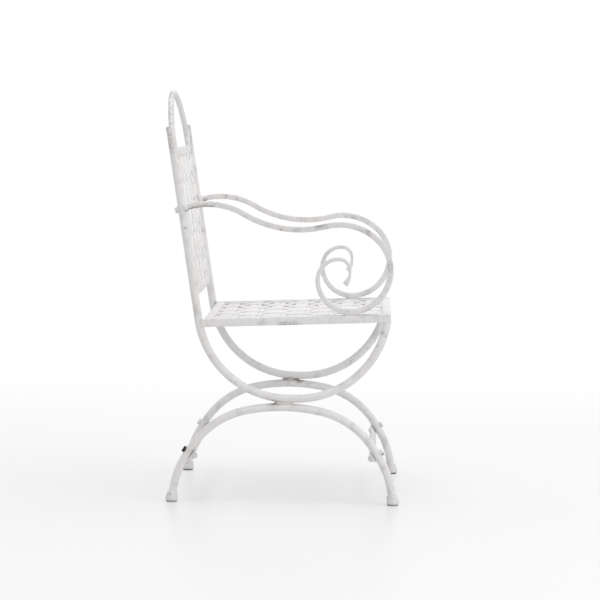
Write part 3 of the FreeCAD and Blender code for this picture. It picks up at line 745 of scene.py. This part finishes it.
cross_places = spread(rear_inside, rail_inside, cross_count)
long_places = spread(-inner_y, inner_y, long_count)
weave_drop = weave_lift + strap_thickness / 2.0
seat_weave = seat_turn @ Matrix.Translation((0.0, 0.0, -weave_drop))
for i, y in enumerate(long_places):
    bm = bmesh.new()
    woven_strap(bm, rear_inside - strap_tuck, rail_inside + strap_tuck, cross_places, i)
    laid = Matrix.Translation((0.0, y, 0.0))
    bmesh.ops.transform(bm, verts=bm.verts, matrix=seat_weave @ laid)
    number = str(i + 1)
    strap_name = "seat_long_strap_" + number
    band = finished(bm, "seat_long_band_" + number, strap_paint, strap_name)
    mark_wear_and_shade(band, far_half_shade)
for i, x in enumerate(cross_places):
    bm = bmesh.new()
    woven_strap(bm, -inner_y - strap_tuck, inner_y + strap_tuck, long_places, i + 1)
    laid = Matrix.Translation((x, 0.0, 0.0)) @ Matrix.Rotation(math.radians(90.0), 4, "Z")
    bmesh.ops.transform(bm, verts=bm.verts, matrix=seat_weave @ laid)
    number = str(i + 1)
    strap_name = "seat_cross_strap_" + number
    band = finished(bm, "seat_cross_band_" + number, strap_paint, strap_name)
    mark_wear_and_shade(band, far_half_shade)

# Back bars. Two flat bars on edge between the posts, one above the seat and one
# near the top, welded to the posts. They carry the ends of the back straps.
back_bar_height = 0.018
back_bar_thickness = 0.006
back_bar_rounding = 0.0010
back_bar_length = 2.0 * half_width - 0.010
back_bead = 0.0034
back_bead_x = half_width - 0.0085
back_bead_y = 0.0034
back_bead_length = 0.016
back_bead_gaps = 6
lower_bar_height = 0.470
upper_bar_height = 0.785
across = Vector((0.0, 1.0, 0.0))
up_post = Vector((-math.sin(lean), 0.0, math.cos(lean)))
rearward = across.cross(up_post) * -1.0
back_axes = Matrix((across, rearward, up_post)).transposed().to_4x4()
back_turn = Matrix.Translation((middle_x + post_foot_x, 0.0, post_foot_z)) @ back_axes


def up_the_back(height):
    """Distance along a post from the bowl to a height above the floor."""
    return (height - post_foot_z) / math.cos(lean)


bar_levels = {"lower": up_the_back(lower_bar_height), "upper": up_the_back(upper_bar_height)}
for bar_name, middle in bar_levels.items():
    bm = bmesh.new()
    flat_bar(bm, back_bar_length, back_bar_thickness, back_bar_height, back_bar_rounding)
    bmesh.ops.translate(bm, verts=bm.verts, vec=(0.0, 0.0, middle))
    for side in sides.values():
        for face in (-1.0, 1.0):
            line = []
            for i in range(back_bead_gaps + 1):
                bead_z = middle - back_bead_length / 2.0 + back_bead_length * i / back_bead_gaps
                line.append((side * back_bead_x, face * back_bead_y, bead_z))
            weld_bead(bm, line, back_bead, seed=31 + int(side) + int(face))
    bmesh.ops.transform(bm, verts=bm.verts, matrix=back_turn)
    finished(bm, bar_name + "_back_bar_flat", bar_paint, bar_name + "_back_bar")

# Back weave. Nine upright straps run between the two flat bars and five level
# ones between the posts, woven like the seat and welded at their ends. Their
# paint is lighter than the seat's: painted light for the bright faces the
# straps turn towards the front lamp.
back_strap_lit_paint = worn_white_paint(
    "back_strap_lit_paint", white=(0.83, 0.82, 0.82), shade=(0.57, 0.56, 0.56),
    bare_iron_and_shadow=(0.36, 0.33, 0.31), wear=0.2, patch_size=0.07, grit=0.35,
)
upright_count = 9
level_count = 5
post_tuck = 0.0006
weave_low = bar_levels["lower"] + back_bar_height / 2.0
weave_high = bar_levels["upper"] - back_bar_height / 2.0
post_inside = half_width - bar_thickness / 2.0
level_places = spread(weave_low, weave_high, level_count)
upright_places = spread(-post_inside, post_inside, upright_count)
on_edge = Matrix.Rotation(math.radians(90.0), 4, "X")
stood_up = on_edge @ Matrix.Rotation(math.radians(90.0), 4, "Z")
for i, y in enumerate(upright_places):
    bm = bmesh.new()
    woven_strap(bm, weave_low - strap_tuck, weave_high + strap_tuck, level_places, i)
    moved = Matrix.Translation((y, 0.0, 0.0))
    bmesh.ops.transform(bm, verts=bm.verts, matrix=back_turn @ moved @ stood_up)
    number = str(i + 1)
    strap_name = "back_upright_strap_" + number
    finished(bm, "back_upright_band_" + number, back_strap_lit_paint, strap_name)
for i, z in enumerate(level_places):
    bm = bmesh.new()
    woven_strap(bm, -post_inside - post_tuck, post_inside + post_tuck, upright_places, i + 1)
    moved = Matrix.Translation((0.0, 0.0, z))
    bmesh.ops.transform(bm, verts=bm.verts, matrix=back_turn @ moved @ on_edge)
    number = str(i + 1)
    strap_name = "back_level_strap_" + number
    finished(bm, "back_level_band_" + number, back_strap_lit_paint, strap_name)

# Top hoop. A thinner round bar bent in one low bow across the top, in the plane
# of the back, with its feet welded on the upper flat bar inside the posts.
hoop_height = 0.925
hoop_thickness = 0.013
hoop_half = 0.205
hoop_crown_radius = 0.290
hoop_shoulder_radius = 0.045
hoop_tuck = 0.0006
hoop_bead = 0.0036
hoop_bead_count = 14
hoop_bead_reach = 0.0062
hoop_bead_y = 0.003
hoop_bead_lift = 0.0012
hoop_top = up_the_back(hoop_height)
crown_centre = hoop_top - hoop_thickness / 2.0 - hoop_crown_radius
hoop_shoulder = hoop_half - hoop_shoulder_radius
centre_gap = hoop_crown_radius - hoop_shoulder_radius
shoulder_up = crown_centre + math.sqrt(centre_gap ** 2 - hoop_shoulder ** 2)
hoop_crown_half = math.degrees(math.asin(hoop_shoulder / centre_gap))
hoop_foot = bar_levels["upper"] + back_bar_height / 2.0 - hoop_tuck
hoop_moves = [
    (shoulder_up - hoop_foot, 0), (hoop_shoulder_radius, hoop_crown_half - 90.0),
    (hoop_crown_radius, -2.0 * hoop_crown_half), (hoop_shoulder_radius, hoop_crown_half - 90.0),
    (shoulder_up - hoop_foot, 0),
]
bm = bmesh.new()
start = Vector((-hoop_half, 0.0, hoop_foot))
ring = start_ring(bm, start, 90.0, hoop_thickness, segments=28)
close_end(bm, ring)
far_ring = bend_bar(bm, ring, start, 90.0, hoop_moves)
close_end(bm, far_ring)
for foot in (-hoop_half, hoop_half):
    line = []
    for i in range(hoop_bead_count):
        angle = 2.0 * math.pi * i / hoop_bead_count
        bead_x = foot + math.cos(angle) * hoop_bead_reach
        bead_y = max(-hoop_bead_y, min(hoop_bead_y, math.sin(angle) * hoop_bead_reach))
        line.append((bead_x, bead_y, hoop_foot + hoop_bead_lift))
    weld_bead(bm, line, hoop_bead, seed=41 + int(foot * 10))
bmesh.ops.transform(bm, verts=bm.verts, matrix=back_turn)
hoop = finished(bm, "top_hoop_bar", bar_paint, "top_hoop")
# Grey over the near side of the hoop is painted shade that dims the side the lamps light most.
mark_wear_and_shade(hoop, [
    (-0.262, -0.205, 0.80, 0.11, 0.30), (-0.266, -0.195, 0.85, 0.11, 0.36),
    (-0.270, -0.16, 0.88, 0.11, 0.40), (-0.272, -0.08, 0.915, 0.12, 0.38),
    (-0.272, 0.00, 0.92, 0.08, 0.20),
])

# Arms. A rectangular bar, drawn out thinner to its end and flared to a small
# fishtail, leaves the post in a long swan bend and rolls up in an open scroll.
arm_paint = worn_white_paint(
    "arm_paint", white=(0.735, 0.722, 0.722), shade=(0.46, 0.448, 0.446),
    bare_iron_and_shadow=(0.28, 0.245, 0.22), wear=0.7, patch_size=0.045, grit=0.35,
)
collar_length = 0.004
arm_foot_gap = 0.0015
arm_half_height = 0.006
arm_rounding = 0.0016
arm_tip_rounding = 0.0012
arm_tuck = 0.0005
arm_start_heading = 17.5
arm_bends = [
    (0.159, -47.5), (0.243, 45.0), (0.121, -60.0), (0.0945, -65.0), (0.0915, -70.0),
    (0.071, -90.0), (0.0465, -90.0), (0.025, -80.0), (0.0445, -15.0), (0.0445, -35.0),
]
arm_sizes = [
    (0.016, 0.0125), (0.016, 0.0125), (0.016, 0.0125), (0.016, 0.013), (0.016, 0.013),
    (0.016, 0.012), (0.016, 0.010), (0.016, 0.008), (0.016, 0.0065), (0.012, 0.006),
    (0.017, 0.013),
]
collar_face = bar_thickness / 2.0 + collar_length
arm_heading = math.radians(arm_start_heading)
arm_out = Vector((math.cos(arm_heading), 0.0, math.sin(arm_heading)))


def walk(point, heading, moves):
    """End point of a row of bends."""
    for radius, turn in moves:
        centre = point + square_to(heading) * math.copysign(radius, turn)
        heading += turn
        point = centre - square_to(heading) * math.copysign(radius, turn)
    return point


arm_run = walk(Vector((0.0, 0.0, 0.0)), arm_start_heading, arm_bends[:5])
foot_offset = arm_run + arm_out * collar_face
rise = math.tan(seat_tilt)
foot_at_ground = post_foot_x + post_foot_z * math.tan(lean) + foot_offset.x
arm_level = seat_height + arm_foot_gap + arm_half_height - foot_offset.z
arm_root_z = (arm_level + rise * foot_at_ground) / (1.0 + rise * math.tan(lean))
arm_root_x = post_foot_x - (arm_root_z - post_foot_z) * math.tan(lean)
# On the right arm, the first nine marks, along the lower edge next to the post, are a painted
# shadow line under the arm's start.
arm_wear_and_shade = {
    "left": [
        (-0.211, 0.242, 0.656, 0.010, 0.8), (-0.204, 0.242, 0.659, 0.008, 0.7),
        (-0.156, 0.242, 0.672, 0.012, 0.6), (0.150, 0.242, 0.62, 0.030, 0.4),
        (0.050, 0.242, 0.64, 0.030, 0.35),
    ],
    "right": [
        (-0.216, -0.256, 0.6535, 0.0080, 1.3), (-0.209, -0.256, 0.6560, 0.0080, 1.3),
        (-0.202, -0.256, 0.6580, 0.0080, 1.2), (-0.195, -0.256, 0.6600, 0.0075, 1.1),
        (-0.187, -0.256, 0.6620, 0.0070, 1.0), (-0.179, -0.256, 0.6635, 0.0070, 0.9),
        (-0.171, -0.257, 0.6645, 0.0070, 0.8), (-0.163, -0.257, 0.6650, 0.0070, 0.7),
        (-0.155, -0.257, 0.6650, 0.0070, 0.6), (0.070, -0.258, 0.625, 0.016, 0.5),
        (0.084, -0.258, 0.6265, 0.012, 0.7), (0.098, -0.258, 0.626, 0.016, 0.5),
        (0.192, -0.258, 0.6135, 0.014, 0.6), (0.240, -0.258, 0.536, 0.020, 0.5),
        (0.215, -0.258, 0.50, 0.030, 0.4),
    ],
}
for side_name, side in sides.items():
    bm = bmesh.new()
    root = Vector((middle_x + arm_root_x, side * half_width, arm_root_z))
    point = root + arm_out * (collar_face - arm_tuck)
    heading = arm_start_heading
    bmesh.ops.create_grid(bm, x_segments=1, y_segments=1, size=0.5)
    width, height = arm_sizes[0]
    bmesh.ops.scale(bm, verts=bm.verts, vec=(height, width, 1.0))
    bmesh.ops.bevel(
        bm, geom=bm.verts[:], offset=arm_rounding, affect="VERTICES",
        segments=4, profile=0.5, material=-1,
    )
    tipped = Matrix.Rotation(math.radians(90.0 - heading), 3, "Y")
    bmesh.ops.rotate(bm, verts=bm.verts, matrix=tipped)
    bmesh.ops.translate(bm, verts=bm.verts, vec=point)
    ring = list(bm.edges)
    for (radius, turn), near_size, far_size in zip(arm_bends, arm_sizes, arm_sizes[1:]):
        steps = max(4, round(abs(turn) / bend_step))
        bend_radius = math.copysign(radius, turn)
        centre = point + square_to(heading) * bend_radius
        for i in range(steps):
            ring = swing_ring(bm, ring, centre, math.radians(turn) / steps, 1)
            heading += turn / steps
            point = centre - square_to(heading) * bend_radius
            old = [near + (far - near) * i / steps for near, far in zip(near_size, far_size)]
            new = [near + (far - near) * (i + 1) / steps for near, far in zip(near_size, far_size)]
            level = Matrix.Translation(point) @ Matrix.Rotation(-math.radians(heading), 4, "Y")
            bmesh.ops.scale(
                bm, verts=list({vert for edge in ring for vert in edge.verts}),
                vec=(1.0, new[0] / old[0], new[1] / old[1]), space=level.inverted(),
            )
    close_end(bm, ring, rounding=arm_tip_rounding)
    arm_name = side_name + "_arm"
    arm = finished(bm, arm_name + "_scroll", arm_paint, arm_name)
    mark_wear_and_shade(arm, arm_wear_and_shade[side_name])

# Arm saddles. A small block welded between the foot of each scroll and the seat
# rail, with a bead of weld along both sides.
scroll_foot_x = arm_root_x + foot_offset.x
pad_length = 0.025
pad_width = 0.0115
pad_depth = 0.0042
pad_rounding = 0.0006
pad_middle_z = 0.0018
pad_bead = 0.0034
pad_bead_length = 0.023
pad_bead_y = 0.0056
pad_bead_z = 0.001
for side_name, side in sides.items():
    bm = bmesh.new()
    flat_bar(bm, pad_length, pad_width, pad_depth, pad_rounding)
    pad_place = (scroll_foot_x, side * half_width, pad_middle_z)
    bmesh.ops.translate(bm, verts=bm.verts, vec=pad_place)
    for face in (-1.0, 1.0):
        line = bead_line(
            scroll_foot_x - pad_bead_length / 2.0, pad_bead_length,
            side * half_width + face * pad_bead_y, pad_bead_z, gaps=9,
        )
        weld_bead(bm, line, pad_bead, seed=51 + int(side) + int(face))
    bmesh.ops.transform(bm, verts=bm.verts, matrix=seat_turn)
    pad_name = side_name + "_arm_saddle"
    finished(bm, pad_name + "_block", bar_paint, pad_name)

# Arm collars. A turned collar between each post and its arm, hollowed to the
# round of the post, with a bolt driven through the post from behind.
collar_outline = [
    (0.0035, 0.0, 0.0), (0.0035, 0.0, 0.0098), (0.0050, 0.0, 0.0108),
    (0.0116, 0.0, 0.0108), (0.0130, 0.0, 0.0100), (0.0130, 0.0, 0.0),
]
washer_outline = [
    (-0.0106, 0.0, 0.0040), (-0.0106, 0.0, 0.0082), (-0.0102, 0.0, 0.0085),
    (-0.0060, 0.0, 0.0085), (-0.0060, 0.0, 0.0040), (-0.0106, 0.0, 0.0040),
]
arm_head_far = -0.0106 - head_thickness
arm_head_near = -0.0104
bm = bmesh.new()
bm_bolts = bmesh.new()
bm_washers = bmesh.new()
for side in sides.values():
    root = Matrix.Translation((middle_x + arm_root_x, side * half_width, arm_root_z))
    root = root @ Matrix.Rotation(-arm_heading, 4, "Y")
    for target, outline in ((bm, collar_outline), (bm_washers, washer_outline)):
        part = bmesh.new()
        turned(part, outline, axis=(1.0, 0.0, 0.0), steps=40)
        join_part(target, part, root)
    part = bmesh.new()
    hex_block(part, arm_head_far, arm_head_near, open_end=arm_head_far)
    join_part(bm_bolts, part, root)
collars = finished(bm, "arm_collar_rings", bar_paint, "arm_collars")
# A dark mark on the right collar's lower side carries on the painted shadow line under the arm's
# start.
mark_wear_and_shade(collars, [(-0.2140, -0.2605, 0.6530, 0.0085, 1.3)])
finished(bm_bolts, "arm_bolt_heads", bolt_paint, "arm_bolts")
finished(bm_washers, "arm_washer_rings", bolt_paint, "arm_washers")

# Studio floor. Pale satin paper that carries the soft shadow of the chair and
# fades to plain white behind it.
bm = bmesh.new()
bmesh.ops.create_grid(bm, x_segments=1, y_segments=1, size=30.0)
floor_mesh = bpy.data.meshes.new("studio_floor")
bm.to_mesh(floor_mesh)
bm.free()
floor = bpy.data.objects.new("studio_floor", floor_mesh)
scene.collection.objects.link(floor)


def seen_directly(nodes, links):
    """1 for camera rays and mirrored ones, 0 for rays that only carry light."""
    path = nodes.new("ShaderNodeLightPath")
    seen = nodes.new("ShaderNodeMath")
    seen.operation = "MAXIMUM"
    links.new(path.outputs["Is Camera Ray"], seen.inputs[0])
    links.new(path.outputs["Is Glossy Ray"], seen.inputs[1])
    return seen.outputs[0]


def fading(nodes, links, value, near, far):
    """0 up to the near distance, rising to 1 at the far one."""
    ramp = nodes.new("ShaderNodeMapRange")
    ramp.inputs["From Min"].default_value = near
    ramp.inputs["From Max"].default_value = far
    links.new(value, ramp.inputs["Value"])
    return ramp.outputs[0]


floor_paper = bpy.data.materials.new("studio_paper")
floor_paper.use_nodes = True
nodes = floor_paper.node_tree.nodes
links = floor_paper.node_tree.links
paper = nodes["Principled BSDF"]
paper.inputs["Base Color"].default_value = (0.82, 0.82, 0.82, 1.0)
paper.inputs["Roughness"].default_value = 0.32
paper.inputs["Specular IOR Level"].default_value = 0.35
white = nodes.new("ShaderNodeEmission")
white.inputs["Color"].default_value = (1.0, 1.0, 1.0, 1.0)
place = nodes.new("ShaderNodeTexCoord")
split = nodes.new("ShaderNodeSeparateXYZ")
links.new(place.outputs["Object"], split.inputs[0])
away = nodes.new("ShaderNodeVectorMath")
away.operation = "LENGTH"
links.new(place.outputs["Object"], away.inputs[0])
faded = nodes.new("ShaderNodeMath")
faded.operation = "MAXIMUM"
behind = fading(nodes, links, split.outputs["Y"], near=-0.6, far=2.2)
around = fading(nodes, links, away.outputs["Value"], near=0.5, far=2.4)
links.new(behind, faded.inputs[0])
links.new(around, faded.inputs[1])
both = nodes.new("ShaderNodeMath")
both.operation = "MULTIPLY"
links.new(faded.outputs[0], both.inputs[0])
links.new(seen_directly(nodes, links), both.inputs[1])
blend = nodes.new("ShaderNodeMixShader")
links.new(both.outputs[0], blend.inputs[0])
links.new(paper.outputs[0], blend.inputs[1])
links.new(white.outputs[0], blend.inputs[2])
links.new(blend.outputs[0], nodes["Material Output"].inputs["Surface"])
floor_mesh.materials.append(floor_paper)

# Studio light. A white tent all round, a broad lamp overhead and a weaker one
# on the camera's side, which leave the tops of the bars a little brighter.
scene.view_settings.view_transform = "Standard"
tent = bpy.data.worlds.new("studio_tent")
scene.world = tent
tent.use_nodes = True
nodes = tent.node_tree.nodes
links = tent.node_tree.links
nodes.clear()
soft_white = nodes.new("ShaderNodeBackground")
soft_white.inputs["Color"].default_value = (1.0, 1.0, 1.0, 1.0)
soft_white.inputs["Strength"].default_value = 0.77
seen_white = nodes.new("ShaderNodeBackground")
seen_white.inputs["Color"].default_value = (1.0, 1.0, 1.0, 1.0)
seen_white.inputs["Strength"].default_value = 1.0
blend = nodes.new("ShaderNodeMixShader")
links.new(seen_directly(nodes, links), blend.inputs[0])
links.new(soft_white.outputs[0], blend.inputs[1])
links.new(seen_white.outputs[0], blend.inputs[2])
tent_out = nodes.new("ShaderNodeOutputWorld")
links.new(blend.outputs[0], tent_out.inputs[0])
# Each lamp: name, place, aim, breadth in metres and power in watts.
lamps = [
    ("overhead_lamp", (0.1, -0.2, 3.2), (0.0, 0.0, 0.3), 2.6, 36.0),
    ("front_lamp", (3.0, -1.6, 1.3), (0.0, 0.0, 0.5), 2.4, 21.0),
]
for lamp_name, lamp_place, aim, size, power in lamps:
    data = bpy.data.lights.new(lamp_name, "AREA")
    data.size = size
    data.energy = power
    lamp = bpy.data.objects.new(lamp_name, data)
    lamp.location = lamp_place
    beam = Vector(aim) - Vector(lamp_place)
    lamp.rotation_euler = beam.to_track_quat("-Z", "Y").to_euler()
    scene.collection.objects.link(lamp)

# Camera. A long lens at arm height, six metres to the right of the chair, as in
# a catalogue side view.
camera_place = (0.2055, -5.9134, 0.8923)
camera_pan = math.radians(1.6543)
camera_tilt = math.radians(85.6291)
camera_roll = math.radians(0.8234)
camera_data = bpy.data.cameras.new("camera")
camera_data.sensor_width = 36.0
camera_data.lens = 152.4
camera_data.clip_end = 100.0
camera = bpy.data.objects.new("camera", camera_data)
camera.matrix_world = (
    Matrix.Translation(camera_place)
    @ Matrix.Rotation(camera_pan, 4, "Z")
    @ Matrix.Rotation(camera_tilt, 4, "X")
    @ Matrix.Rotation(camera_roll, 4, "Z")
)
scene.collection.objects.link(camera)
scene.camera = camera
